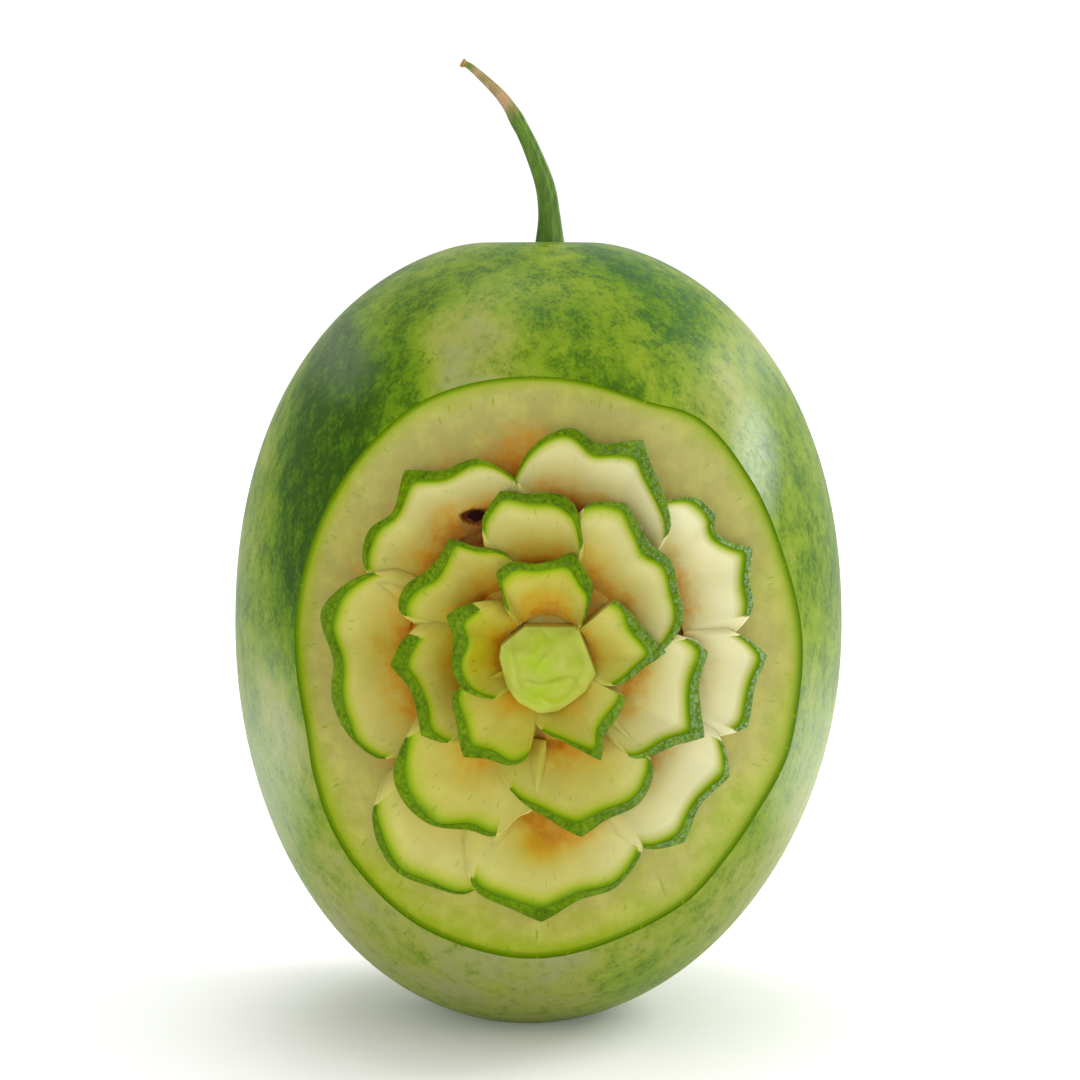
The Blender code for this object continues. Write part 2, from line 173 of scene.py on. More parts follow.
# ---- fineness of the finished pieces -------------------------------------------------------
BODY_SHARP = 28.0               # edges sharper than this show as edges, degrees
PETAL_SHARP = 40.0
STALK_SHARP = 50.0
MELON_SECTORS = 330
MELON_RINGS = 210
CROWN_CROWDING = 1.25
DISH_SECTORS = 300
FLOWER_ROWS = 28                # rows of the dish's floor below the flower
PEELED_ROWS = 17                # rows of the ring round it
LID_Y = -1.4 * GIRTH_RADIUS
RIM_STEP = 0.9                  # length of one straight piece of a rim, mm
FACE_ROWS = 26
BACK_ROWS = 6
BAND_SPREAD = 1.7               # how far along a rim the skin's inner edge is rounded, mm
TIP_SPREAD = 0.35               # how far along a rim its sharp tips are blunted, mm
SHARP_TURN = 0.75               # change of slope from which a tip is left sharp
FACE_SAG = 0.04                 # how much a petal's face hollows, as a share of its depth
# Across the skin left on a rim: share of its width, depth in mm below the petal's top.
BAND_PROFILE = ((0.0, 0.35), (0.03, 0.12), (0.10, 0.0), (0.4, -0.10), (0.75, -0.05),
                (0.94, 0.05), (1.0, 0.22))
# Petals cut without skin up to a bearing, by their place in the list.
BARE_UNTIL = {10: 196}
PIT_PUSH = 9.0                  # depth of the knife slip below the petal it went through, mm
PIT_FROM = 8.0                  # depth under the skin from which the petal's face is pushed in, mm
LEAST_BAND = 0.3                # least width of skin on a rim, mm
FACE_CROWDING = 1.2             # how the rows of a petal's face crowd towards its rim
BACK_BEND = 0.7                 # how a petal's back bends out to its rim
BARE_TUCK = 0.7                 # a rim that dips by more than this has no skin left, mm
PATTERN_GAP = 97.0              # distance between petals in the veins' pattern, mm
SKIN_DEPTH = 0.3                # the body's front is flesh where it is cut deeper than this, mm
FRONT_Y = -20.0 * MM
# Unevenness left by the knife: size and height in mm, seed.
FLOOR_WAVES = ((16.0, 0.55, 2), (6.0, 0.16, 3))
BUD_WAVES = ((8.0, 1.2, 31), (3.5, 0.35, 32))
CREASES = (13.0, 1.0, 35)
PETAL_WAVE = (9.0, 0.45)
FIRST_PETAL_SEED = 5

BODY = "root"
NODE = "carved_melon"


# ---- shape of the melon --------------------------------------------------------------------
def melon_radius(z):
    """Radius of the turned melon at each height, leaving out the dip round the stalk."""
    z = np.asarray(z, float)
    above = z > GIRTH_Z
    half = np.where(above, UPPER_HALF, LOWER_HALF)
    power = np.where(above, SQUARENESS_UP, SQUARENESS_DOWN)
    share = np.clip(np.abs(z - GIRTH_Z) / half, 0.0, 1.0)
    return GIRTH_RADIUS * (1.0 - share ** power) ** (1.0 / power)


def melon_axis(z):
    """The melon's middle at each height: it leans a little above the resting spot."""
    drop = np.maximum(GIRTH_Z - np.asarray(z, float), 0.0) / GIRTH_Z
    return LEAN * (1.0 - drop * drop)


def skin_points(bearing, reach, depth=0.0):
    """Points in the flower, each a depth in mm straight in (+Y) from the melon's skin."""
    bearing, reach, depth = np.broadcast_arrays(bearing, reach, depth)
    angle = np.radians(bearing)
    x = FLOWER_X + reach * MM * np.sin(angle)
    z = FLOWER_Z + reach * MM * np.cos(angle)
    across = x - melon_axis(z)
    y = -np.sqrt(np.maximum(melon_radius(z) ** 2 - across ** 2, 0.0))
    return np.stack((x, y + depth * MM, z), axis=-1)


def under_skin(points):
    """How deep each point lies under the melon's skin, square to it, in mm."""
    x, y, z = points[:, 0], points[:, 1], points[:, 2]
    radius = melon_radius(z)
    slope = (melon_radius(z + MM) - melon_radius(z - MM)) / (2.0 * MM)
    out = radius - np.hypot(x - melon_axis(z), y)
    return out / np.sqrt(1.0 + slope * slope) / MM


# ---- mesh helpers --------------------------------------------------------------------------
def closed_faces(rings, count):
    """Quads between successive rings of equally many points, and a face to close either end."""
    faces = []
    for start in range(0, (rings - 1) * count, count):
        for j in range(count):
            k = (j + 1) % count
            faces.append((start + j, start + k, start + count + k, start + count + j))
    faces.append(tuple(range(count)))
    faces.append(tuple(range((rings - 1) * count, rings * count)))
    return faces


def place_object(name, data):
    """An object of that name in the scene, at the origin."""
    made = bpy.data.objects.new(name, data)
    bpy.context.scene.collection.objects.link(made)
    return made


def finished(name, points, faces, smooth_angle=32.0):
    """A named object from points and faces, its faces turned outwards."""
    mesh = bpy.data.meshes.new(name)
    mesh.from_pydata([tuple(p) for p in points], [], faces)
    bm = bmesh.new()
    bm.from_mesh(mesh)
    bmesh.ops.recalc_face_normals(bm, faces=bm.faces)
    bm.to_mesh(mesh)
    bm.free()
    mesh.shade_smooth()
    mesh.set_sharp_from_angle(angle=math.radians(smooth_angle))
    return place_object(name, mesh)


def mesh_points(mesh):
    flat = np.empty(len(mesh.vertices) * 3)
    mesh.vertices.foreach_get("co", flat)
    return flat.reshape(-1, 3)


def note(mesh, name, values):
    """Store one number for each point of a mesh."""
    layer = mesh.attributes.new(name, "FLOAT", "POINT")
    layer.data.foreach_set("value", np.asarray(values, np.float32))


def ride_root(piece):
    """The piece belongs to the melon's one body and takes the place of its one solid."""
    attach(piece, BODY)
    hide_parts(NODE)


# ---- colour and nodes ----------------------------------------------------------------------
def linear(code):
    """An sRGB hex colour as linear red, green, blue, alpha."""
    parts = [int(code[i:i + 2], 16) / 255.0 for i in (1, 3, 5)]
    return (*(p / 12.92 if p <= 0.04045 else ((p + 0.055) / 1.055) ** 2.4 for p in parts), 1.0)


def per_mm(size):
    """Scale of a noise whose blotches are about this many millimetres across."""
    return 1.0 / (size * MM)


def plug(tree, socket, value):
    """Set a socket to a constant, or link a socket or a node's first open output to it."""
    if isinstance(value, bpy.types.Node):
        value = next(output for output in value.outputs if output.enabled)
    if isinstance(value, bpy.types.NodeSocket):
        tree.links.new(value, socket)
    else:
        socket.default_value = value


def put(tree, kind, *values, named=(), **settings):
    """Add a node and return it; settings are its own properties.

    The values go to its open inputs in turn, and the named ones to the inputs of those names.
    """
    made = tree.nodes.new(kind if "Node" in kind else "ShaderNode" + kind)
    for key, value in settings.items():
        setattr(made, key, value)
    for socket, value in zip([i for i in made.inputs if i.enabled], values):
        plug(tree, socket, value)
    for key, value in dict(named).items():
        plug(tree, made.inputs[key], value)
    return made


def graded(ramp, stops):
    """Give a colour ramp its (place, hex colour) stops."""
    band = ramp.color_ramp
    while len(band.elements) < len(stops):
        band.elements.new(0.5)
    for element, (place, code) in zip(band.elements, stops):
        element.position = place
        element.color = linear(code)
    return ramp


def pattern(tree, place, size, detail, rough, *reach):
    """Soft blotches about size mm across; reach is from low, from high, to low, to high."""
    noise_at = put(tree, "TexNoise", place, per_mm(size), detail, rough)
    return put(tree, "MapRange", noise_at, *reach)


def faded(tree, value, along, none, full):
    """A value that fades in from nothing to all of it along another value."""
    share = put(tree, "MapRange", along, none, full)
    return put(tree, "Math", value, share, operation="MULTIPLY")


def blank_material(name):
    made = bpy.data.materials.new(name)
    made.use_nodes = True
    tree = made.node_tree
    return made, tree, tree.nodes["Principled BSDF"]


def dress(tree, shader, looks, height, strength, relief_mm):
    """Give the shader its colour and other values by name, and a fine relief."""
    bump = put(tree, "Bump", named={"Strength": strength, "Distance": relief_mm * MM,
                                    "Height": height})
    for name, value in {**looks, "Normal": bump}.items():
        plug(tree, shader.inputs[name], value)


# ---- materials -----------------------------------------------------------------------------
STRIPES = 6                     # dark stripes round the melon
STRIPE_WANDER = 0.35            # how far they wander to either side, radians
# Clouds of paler or darker rind: middle in mm from the girth's middle, size in mm, strength.
RIND_CLOUDS = (
    ((-22.0, -70.0, 88.0), (20.0, 60.0, 26.0), -0.50),
    ((-38.0, -80.0, 64.0), (40.0, 60.0, 18.0), -0.16),
    ((-66.0, -70.0, 48.0), (17.0, 60.0, 60.0), 1.10),
    ((-44.0, -40.0, 96.0), (26.0, 60.0, 30.0), 0.30),
    ((-42.0, -76.0, 80.0), (14.0, 60.0, 14.0), 0.30),
    ((36.0, -30.0, 112.0), (50.0, 60.0, 20.0), 0.28),
    ((56.0, -70.0, 86.0), (22.0, 60.0, 24.0), -0.12),
    ((90.0, -30.0, 35.0), (22.0, 60.0, 60.0), 0.24),
    ((10.0, -70.0, 84.0), (30.0, 60.0, 26.0), 0.34),
    ((56.0, -60.0, -78.0), (24.0, 60.0, 26.0), -0.16),
    ((-30.0, -60.0, -96.0), (60.0, 60.0, 34.0), -0.26),
)
# Whitish wax bloom, with painted sheen near the silhouettes and a painted highlight on the right
# shoulder: middle and size as above, strength.
WAX_BLOOM_AND_SHEEN = (
    ((66.0, -62.0, 58.0), (8.0, 40.0, 22.0), 0.46),
    ((72.0, -60.0, 92.0), (16.0, 60.0, 16.0), 0.22),
    ((-84.0, -40.0, -36.0), (12.0, 60.0, 34.0), 0.34),
    ((-62.0, -60.0, 92.0), (12.0, 60.0, 14.0), 0.12),
    ((86.0, -44.0, -40.0), (14.0, 50.0, 32.0), 0.30),
)
GROUND_GREENS = ((0.0, "#8e9060"), (0.25, "#8c943a"), (0.45, "#788f18"), (0.7, "#5f8006"),
                 (1.0, "#486c00"))
SPECKLE_GREENS = ((0.0, "#6a7c20"), (0.3, "#527408"), (0.6, "#3c5e00"), (1.0, "#274600"))
CUTICLE_IOR = 1.42              # plant wax
FLESH_IOR = 1.36                # sugary water
SUBSURFACE_MM = 3.0             # how far light spreads in the flesh


def soft_spot(tree, place, middle, size, amount):
    """A soft-edged cloud of the given amount at its middle, fading to nothing."""
    off = put(tree, "VectorMath", place, [v * MM for v in middle], operation="SUBTRACT")
    off = put(tree, "VectorMath", off, [v * MM for v in size], operation="DIVIDE")
    far = put(tree, "VectorMath", off, operation="LENGTH")
    return put(tree, "MapRange", far, 0.2, 1.5, amount, 0.0, interpolation_type="SMOOTHSTEP")


def rind_nodes(tree):
    """Colour of the skin and the height of its pores, from object coordinates."""
    place = put(tree, "TexCoord").outputs["Object"]
    axis = put(tree, "Mapping", place, (-LEAN, 0.0, -GIRTH_Z))
    x, y, z = put(tree, "SeparateXYZ", axis).outputs
    # Stripes run from stalk to blossom end and wander a little.
    angle = put(tree, "Math", x, put(tree, "Math", y, -1.0, operation="MULTIPLY"),
                operation="ARCTAN2")
    wander = pattern(tree, axis, 60.0, 3.0, 0.6, 0.3, 0.7, 0.0, 2.0 * STRIPE_WANDER)
    turned = put(tree, "Math", angle, wander, operation="ADD")
    turned = put(tree, "Math", turned, float(STRIPES), operation="MULTIPLY")
    stripe = put(tree, "Math", turned, operation="COSINE")
    strength = put(tree, "MapRange", z, -70 * MM, 70 * MM, 0.05, 0.12)
    dark = put(tree, "Math", stripe, strength, 0.40, operation="MULTIPLY_ADD")
    for cloud in RIND_CLOUDS:
        dark = put(tree, "Math", dark, soft_spot(tree, axis, *cloud), operation="ADD")
    cloudy = pattern(tree, axis, 22.0, 3.0, 0.6, 0.25, 0.75, -0.22, 0.22)
    dark = put(tree, "Math", dark, cloudy, operation="ADD")
    # Fine speckle: pinhead dots drawn out along the melon, that crowd and merge where it is dark.
    drawn = put(tree, "Mapping", axis, named={"Scale": (1.0, 1.0, 0.7)})
    crowd = pattern(tree, drawn, 6.0, 3.0, 0.65, 0.25, 0.75, -0.17, 0.17)
    crowd = put(tree, "Math", crowd, put(tree, "MapRange", dark, 0.0, 1.0, -0.10, 0.17),
                operation="ADD")
    specks = put(tree, "TexNoise", drawn, per_mm(1.25), 2.5, 0.65)
    specks = put(tree, "Math", specks, crowd, operation="ADD")
    specks = put(tree, "MapRange", specks, 0.54, 0.66)
    mottle = put(tree, "TexNoise", drawn, per_mm(3.6), 3.0, 0.6)
    mottle = put(tree, "Math", mottle, crowd, operation="ADD")
    mottle = put(tree, "MapRange", mottle, 0.40, 0.72)
    mottle = put(tree, "Math", mottle, 0.5, operation="MULTIPLY")
    flecked = put(tree, "Math", specks, 0.45, mottle, operation="MULTIPLY_ADD")
    ground = graded(put(tree, "ValToRGB", dark), GROUND_GREENS)
    deep = graded(put(tree, "ValToRGB", dark), SPECKLE_GREENS)
    # The crown's shaded side is a colder, bluer green.
    cold = put(tree, "Math", x, 0.6, z, operation="MULTIPLY_ADD")
    cold = put(tree, "MapRange", cold, 92 * MM, 148 * MM, 0.0, 0.6)
    deep = put(tree, "Mix", cold, deep, linear("#24602c"), data_type="RGBA")
    colour = put(tree, "Mix", flecked, ground, deep, data_type="RGBA")
    # A thin whitish bloom of wax clings to the shoulder and low on the sides, with painted sheen and a
    # painted highlight on the right shoulder.
    bloom_and_sheen = 0.0
    for cloud in WAX_BLOOM_AND_SHEEN:
        bloom_and_sheen = put(tree, "Math", bloom_and_sheen, soft_spot(tree, axis, *cloud), operation="MAXIMUM")
    scuffs = pattern(tree, drawn, 1.8, 4.0, 0.7, 0.35, 0.62, 0.45, 1.0)
    bloom_and_sheen = put(tree, "Math", bloom_and_sheen, scuffs, operation="MULTIPLY")
    colour = put(tree, "Mix", bloom_and_sheen, colour, linear("#d3dcc6"), data_type="RGBA")
    pores = put(tree, "TexNoise", drawn, per_mm(1.0), 3.0, 0.6)
    return colour, pores


def waxy_rind():
    """Watermelon skin: a hard waxy cuticle over mottled green, so it has a soft broad gloss."""
    made, tree, shader = blank_material("waxy watermelon rind")
    colour, pores = rind_nodes(tree)
    rough = put(tree, "MapRange", pores, 0.3, 0.7, 0.32, 0.46)
    dress(tree, shader, {"Base Color": colour, "Roughness": rough, "IOR": CUTICLE_IOR,
                         "Specular IOR Level": 0.12}, pores, 0.5, 0.15)
    return made


def rim_rind():
    """The same skin where it is left as a thin band on a petal: fresh cut, so darker, wetter."""
    made, tree, shader = blank_material("watermelon rind band")
    place = put(tree, "TexCoord").outputs["Object"]
    fleck = pattern(tree, place, 1.3, 4.0, 0.7, 0.35, 0.68)
    cloud = pattern(tree, place, 8.0, 2.0, 0.5, 0.3, 0.7)
    light = put(tree, "Mix", cloud, linear("#6e8c00"), linear("#587600"), data_type="RGBA")
    deep = put(tree, "Mix", cloud, linear("#426000"), linear("#304a00"), data_type="RGBA")
    colour = put(tree, "Mix", fleck, light, deep, data_type="RGBA")
    # Painted highlights: pale specks of glint on the skin band, most on the right-hand petals, where
    # the light falls.
    right = put(tree, "MapRange", put(tree, "SeparateXYZ", place).outputs[0], 15 * MM, 70 * MM)
    painted_glints = pattern(tree, place, 1.0, 3.0, 0.7, 0.46, 0.62, 0.0, 0.5)
    painted_glints = put(tree, "Math", painted_glints, right, operation="MULTIPLY")
    colour = put(tree, "Mix", painted_glints, colour, linear("#9db7a0"), data_type="RGBA")
    dress(tree, shader, {"Base Color": colour, "Roughness": 0.38, "IOR": CUTICLE_IOR,
                         "Specular IOR Level": 0.08}, fleck, 0.3, 0.1)
    return made


FLESH_SPAN = 32.0               # the whole range that the flesh colours cover, mm
# Flesh from just under the skin inwards: depth in mm, colour.
PETAL_DEPTHS = (
    (0.0, "#486e00"), (0.8, "#7e9a00"), (1.8, "#a0a60a"), (3.2, "#aca42c"), (6.0, "#aea234"),
    (10.0, "#b49c20"), (13.0, "#bc920e"), (16.0, "#b97a00"), (19.5, "#a45c00"),
    (23.0, "#7c3800"), (30.0, "#4c1000"),
)
DISH_DEPTHS = (
    (0.0, "#446400"), (1.2, "#6a8a00"), (2.2, "#8a9a04"), (3.2, "#949832"), (4.6, "#9b974a"),
    (9.0, "#9b9146"), (11.5, "#a4873a"), (14.0, "#b58420"), (17.0, "#b4740a"),
    (22.0, "#8a4a00"), (30.0, "#4c1000"),
)
KNOB_DEPTHS = ((5.0, "#adb54a"), (9.0, "#b0a83a"), (13.0, "#a47400"))


def flesh_colours(tree, depth, depths):
    """Flesh colour at each depth in mm."""
    share = put(tree, "Math", depth, FLESH_SPAN, operation="DIVIDE")
    return graded(put(tree, "ValToRGB", share), [(d / FLESH_SPAN, code) for d, code in depths])


def cut_flesh(name, depths):
    """Knife-cut watermelon: green line under the skin, pale firm wall, then orange heart flesh.

    It is wet and slightly see-through, so shadows in it stay warm and soft.
    """
    made, tree, shader = blank_material(name)
    place = put(tree, "TexCoord").outputs["Object"]
    depth, ripe_and_shade, around, pale_and_lit, glassy_and_shade, pit = (
        put(tree, "Attribute", attribute_name=what).outputs["Fac"]
        for what in ("depth_mm", "ripeness_and_crevice_shade", "round_mm", "milk_and_painted_light", "glassiness_and_shade", "pit"))
    # Ripeness drifts from place to place, most in the heart flesh.
    drift = pattern(tree, place, 22.0, 3.0, 0.55, 0.25, 0.75, -2.2, 2.2)
    ripple = pattern(tree, place, 7.0, 2.0, 0.5, 0.3, 0.7, -0.8, 0.8)
    drift = put(tree, "Math", drift, ripple, operation="ADD")
    blotch = pattern(tree, place, 4.5, 3.0, 0.6, 0.3, 0.7, -3.2, 3.2)
    blotch = faded(tree, blotch, depth, 6.0, 14.0)
    drift = put(tree, "Math", drift, blotch, operation="ADD")
    # The stored ripeness also brings painted shade into the crevices between petals, as deeper flesh
    # colour.
    drift = put(tree, "Math", drift, ripe_and_shade, operation="ADD")
    drift = faded(tree, drift, depth, 2.0, 8.0)
    seen = put(tree, "Math", depth, drift, operation="ADD")
    colour = flesh_colours(tree, seen, depths)
    # The wall is never one even tone: soft milky and glassy places lie side by side.
    milk = pattern(tree, place, 7.0, 3.0, 0.6, 0.42, 0.66, 0.0, 0.28)
    milk = faded(tree, milk, depth, 1.5, 4.0)
    colour = put(tree, "Mix", milk, colour, linear("#c6c25c"), data_type="RGBA")
    # Short green veins run in from under the skin, about 1.7 mm apart and 3.4 mm long.
    vein = put(tree, "CombineXYZ", put(tree, "Math", around, 1.7, operation="DIVIDE"),
               put(tree, "Math", depth, 3.4, operation="DIVIDE"))
    vein = put(tree, "TexNoise", vein, 1.0, 1.0)
    vein = put(tree, "MapRange", vein, 0.66, 0.71, 0.0, 0.85)
    vein = faded(tree, vein, depth, 7.5, 5.5)
    colour = put(tree, "Mix", vein, colour, linear("#7c9404"), data_type="RGBA")
    # The firm wall is milkier where it is thick, and keeps its warm tint where it is ripe; the same
    # whitening to the right and on the upper petals is painted light.
    milk_and_light_tint = put(tree, "Mix", put(tree, "MapRange", seen, 9.0, 17.0), linear("#dcd9b4"),
                linear("#d6ac6c"), data_type="RGBA")
    pale_and_lit = faded(tree, pale_and_lit, depth, 0.8, 3.2)
    pale_and_lit = put(tree, "Math", pale_and_lit, put(tree, "MapRange", seen, 17.0, 4.0, 0.45, 1.0),
               operation="MULTIPLY")
    colour = put(tree, "Mix", pale_and_lit, colour, milk_and_light_tint, data_type="RGBA")
    # Near the middle the flesh is glassier and yellower, and it is made darker there as painted shade.
    glassy_and_shade = faded(tree, glassy_and_shade, depth, 1.0, 3.0)
    colour = put(tree, "Mix", glassy_and_shade, colour, linear("#e4e23e"), data_type="RGBA",
                 blend_type="MULTIPLY")
    # The knife slip went through to the red heart: a salmon-red edge, and painted shade, near black,
    # inside the slip.
    pit = faded(tree, pit, depth, 9.0, 12.0)
    for first, full, share, code in ((0.0, 0.3, 0.8, "#ac5a34"), (0.2, 0.7, 1.0, "#280300")):
        stain_and_shade = put(tree, "MapRange", pit, first, full, 0.0, share)
        colour = put(tree, "Mix", stain_and_shade, colour, linear(code), data_type="RGBA")
    wet = put(tree, "TexNoise", place, per_mm(3.2), 3.0, 0.55)
    dress(tree, shader, {"Base Color": colour, "Roughness": 0.42, "IOR": FLESH_IOR,
                         "Specular IOR Level": 0.11, "Subsurface Weight": 0.22,
                         "Subsurface Radius": (1.0, 0.72, 0.30),
                         "Subsurface Scale": SUBSURFACE_MM * MM}, wet, 0.25, 0.25)
    return made


def peeled_knob():
    """Flesh just under the peel: yellow-green, wet, with brighter green where peel was thin."""
    made, tree, shader = blank_material("peeled watermelon flesh")
    place = put(tree, "TexCoord").outputs["Object"]
    depth = put(tree, "Attribute", attribute_name="depth_mm").outputs["Fac"]
    cloud = pattern(tree, place, 9.0, 2.0, 0.5, 0.50, 0.64)
    colour = put(tree, "Mix", cloud, linear("#9ca630"), linear("#94a800"), data_type="RGBA")
    side = flesh_colours(tree, depth, KNOB_DEPTHS)
    colour = put(tree, "Mix", put(tree, "MapRange", depth, 3.0, 4.6), colour, side,
                 data_type="RGBA")
    wet = put(tree, "TexNoise", place, per_mm(2.4), 3.0, 0.55)
    dress(tree, shader, {"Base Color": colour, "Roughness": 0.36, "IOR": 1.38,
                         "Subsurface Weight": 0.25, "Subsurface Radius": (1.0, 0.9, 0.35),
                         "Subsurface Scale": SUBSURFACE_MM * MM}, wet, 0.3, 0.3)
    return made


def green_stalk():
    """Fresh fruit stalk: ridged green stem, drying to tan along one side near its tip."""
    made, tree, shader = blank_material("fresh fruit stalk")
    place = put(tree, "TexCoord").outputs["Object"]
    along = put(tree, "Attribute", attribute_name="along").outputs["Fac"]
    side = put(tree, "Attribute", attribute_name="side").outputs["Fac"]
    drawn = put(tree, "Mapping", place, named={"Scale": (1.0, 1.0, 0.3)})
    streak = pattern(tree, drawn, 1.6, 4.0, 0.6, 0.3, 0.7)
    colour = put(tree, "Mix", streak, linear("#587c06"), linear("#345202"), data_type="RGBA")
    shaded = put(tree, "MapRange", side, 0.2, -0.9, 0.0, 0.75)
    colour = put(tree, "Mix", shaded, colour, linear("#35470f"), data_type="RGBA")
    # The tan patch lies on one side, a fifth of the way down from the tip.
    dry = pattern(tree, place, 5.0, 3.0, 0.5, 0.42, 0.60)
    dry = put(tree, "MapRange", dry, 0.0, 1.0, 0.5, 0.9)
    for value, none, full in ((along, 0.66, 0.74), (along, 0.97, 0.92), (side, 0.1, 0.6)):
        dry = faded(tree, dry, value, none, full)
    colour = put(tree, "Mix", dry, colour, linear("#b08a66"), data_type="RGBA")
    tip = put(tree, "MapRange", along, 0.965, 0.99)
    colour = put(tree, "Mix", tip, colour, linear("#94763a"), data_type="RGBA")
    dress(tree, shader, {"Base Color": colour, "Roughness": 0.45, "Specular IOR Level": 0.3},
          streak, 0.5, 0.2)
    return made


# ---- interpolation between named places ----------------------------------------------------
def round_outline(places, bearings):
    """Smooth closed outline through (bearing, reach) places, read at many bearings."""
    at = np.array([p[0] for p in places], float)
    value = np.array([p[1] for p in places], float)
    at = np.concatenate((at[-2:] - 360.0, at, at[:2] + 360.0))
    value = np.concatenate((value[-2:], value, value[:2]))
    bearings = np.mod(bearings, 360.0)
    i = np.clip(np.searchsorted(at, bearings, side="right"), 2, len(at) - 2)
    t = (bearings - at[i - 1]) / (at[i] - at[i - 1])
    a, b, c, d = (value[i + k] for k in (-2, -1, 0, 1))
    return b + 0.5 * t * (c - a + t * (2 * a - 5 * b + 4 * c - d + t * (3 * (b - c) + d - a)))


def blurred(values, spacing, spread):
    """Smooth values that lie at uneven distances along a line, by a bell of the given spread."""
    gap = spacing[:, None] - spacing[None, :]
    weight = np.exp(-0.5 * (gap / spread) ** 2)
    return weight @ values / weight.sum(axis=1)


# ---- melon with its dish -------------------------------------------------------------------
def uneven(points, size_mm, amount_mm, seed):
    """A small smooth in-and-out value for each point, in mm; each seed is another pattern."""
    shift = Vector((seed * 7.3, seed * 3.1, seed * 5.7))
    scale = 1.0 / (size_mm * MM)
    return np.array([noise.noise(Vector(p) * scale + shift) for p in points]) * amount_mm


def turned_melon():
    """The whole melon, its rings crowded towards the crown, where the stalk's dip is."""
    bottom = math.acos(-(GIRTH_Z / LOWER_HALF) ** (SQUARENESS_DOWN / 2.0))
    turn = bottom * (1.0 - np.arange(MELON_RINGS) / MELON_RINGS) ** CROWN_CROWDING
    above = turn < math.pi / 2
    half = np.where(above, UPPER_HALF, LOWER_HALF)
    power = 2.0 / np.where(above, SQUARENESS_UP, SQUARENESS_DOWN)
    radius = GIRTH_RADIUS * np.sin(turn) ** power
    z = GIRTH_Z + np.sign(np.cos(turn)) * half * np.abs(np.cos(turn)) ** power
    z = np.where(above, z - CROWN_DIP * np.exp(-(radius / CROWN_DIP_RADIUS) ** 2), z)
    z[0] = 0.0
    angle = 2.0 * math.pi * np.arange(MELON_SECTORS) / MELON_SECTORS
    x = melon_axis(z)[:, None] + radius[:, None] * np.cos(angle)
    y = radius[:, None] * np.sin(angle)
    points = np.stack((x, y, np.repeat(z[:, None], MELON_SECTORS, 1)), -1).reshape(-1, 3)
    return finished("melon", points, closed_faces(MELON_RINGS, MELON_SECTORS))


def floor_depth(bearing, reach):
    """Depth of the dish's floor under the skin, for arrays of bearings and reaches."""
    bearing, reach = np.broadcast_arrays(bearing, reach)
    edge = round_outline(DISH_EDGE, bearing)
    out = np.empty(reach.shape)
    inside = reach <= DISH_FLOOR[-1][0]
    at, depth = zip(*DISH_FLOOR)
    out[inside] = np.interp(reach[inside], at, depth)
    last_reach, last_depth = DISH_FLOOR[-1]
    lip = edge - DISH_LIP_RUN
    t = np.clip((reach - last_reach) / (lip - last_reach), 0.0, 1.0)
    run = last_depth + (DISH_LIP - last_depth) * t
    run += DISH_SWELL * np.sin(math.pi * t)
    past = DISH_LIP - (reach - lip) * DISH_LIP / DISH_LIP_RUN
    out[~inside] = np.where(reach > lip, past, run)[~inside]
    return out


def dish_cutter():
    """What is cut away for the flower: the dish's floor, closed by a lid in front of the melon."""
    bearings = 360.0 * np.arange(DISH_SECTORS) / DISH_SECTORS
    edge = round_outline(DISH_EDGE, bearings)
    start, ring = DISH_FLOOR[1][0], DISH_FLOOR[-1][0]
    reaches = list(np.linspace(start, ring, FLOWER_ROWS))
    for share in np.linspace(0.0, 1.0, PEELED_ROWS)[1:]:
        reaches.append(ring + (edge - DISH_LIP_RUN - ring) * share)
    reaches += [edge, edge + DISH_LIP_RUN]
    rows = [skin_points(bearings, reach, floor_depth(bearings, reach)) for reach in reaches]
    lid = rows[-1].copy()
    lid[:, 1] = LID_Y
    points = np.concatenate(rows)
    # The floor was peeled with a knife, so it is never quite even.
    wavy = sum(uneven(points, *wave) for wave in FLOOR_WAVES)
    calm = np.clip(under_skin(points) / 4.0, 0.0, 1.0)
    points[:, 1] += wavy * calm * MM
    points = np.concatenate((points, lid))
    return finished("dish_cutter", points, closed_faces(len(rows) + 1, DISH_SECTORS))


def cut(target, tool):
    """Take the tool's shape out of the target, leaving a plain mesh."""
    step = target.modifiers.new("cut", "BOOLEAN")
    step.object = tool
    step.operation = "DIFFERENCE"
    step.solver = "EXACT"
    graph = bpy.context.evaluated_depsgraph_get()
    result = bpy.data.meshes.new_from_object(target.evaluated_get(graph))
    target.modifiers.clear()
    target.data = result
    bpy.data.objects.remove(tool, do_unlink=True)


# Riper places in the flower, and painted shade in crevices between petals as deeper flesh colour:
# bearing, reach and size in mm, extra ripeness in mm of depth.
RIPE_AND_CREVICE_SHADE_SPOTS = ((180, 57, 9, 7.0), (168, 52, 8, 4.0), (331, 44, 8, 4.0), (12, 40, 7, 2.5),
              (352, 24, 6, 4.0), (145, 46, 8, 4.0), (214, 46, 8, 4.0), (100, 30, 6, 3.0),
              (240, 30, 6, 3.0), (354, 64, 10, 2.8))
# Glassier places, also darkened as painted shade: bearing, reach and size in mm, strength.
GLASSY_AND_SHADED_SPOTS = ((278, 22, 13, 1.0), (190, 24, 10, 0.5), (90, 22, 11, 0.6), (150, 40, 12, 0.4),
                (182, 58, 8, 0.9), (222, 48, 14, 0.3), (0, 30, 12, 0.2), (60, 36, 12, 0.25),
                (272, 52, 10, 0.3))
RIPE_SIDE = 1.5                 # how much riper the flesh is up and to the left, mm
RIPE_FACING = math.radians(-40.0)
RIPE_SHIFT = -2.2
BODY_PALENESS = 0.13            # how strongly the milky tint and painted light reach the peeled ring beside the petals
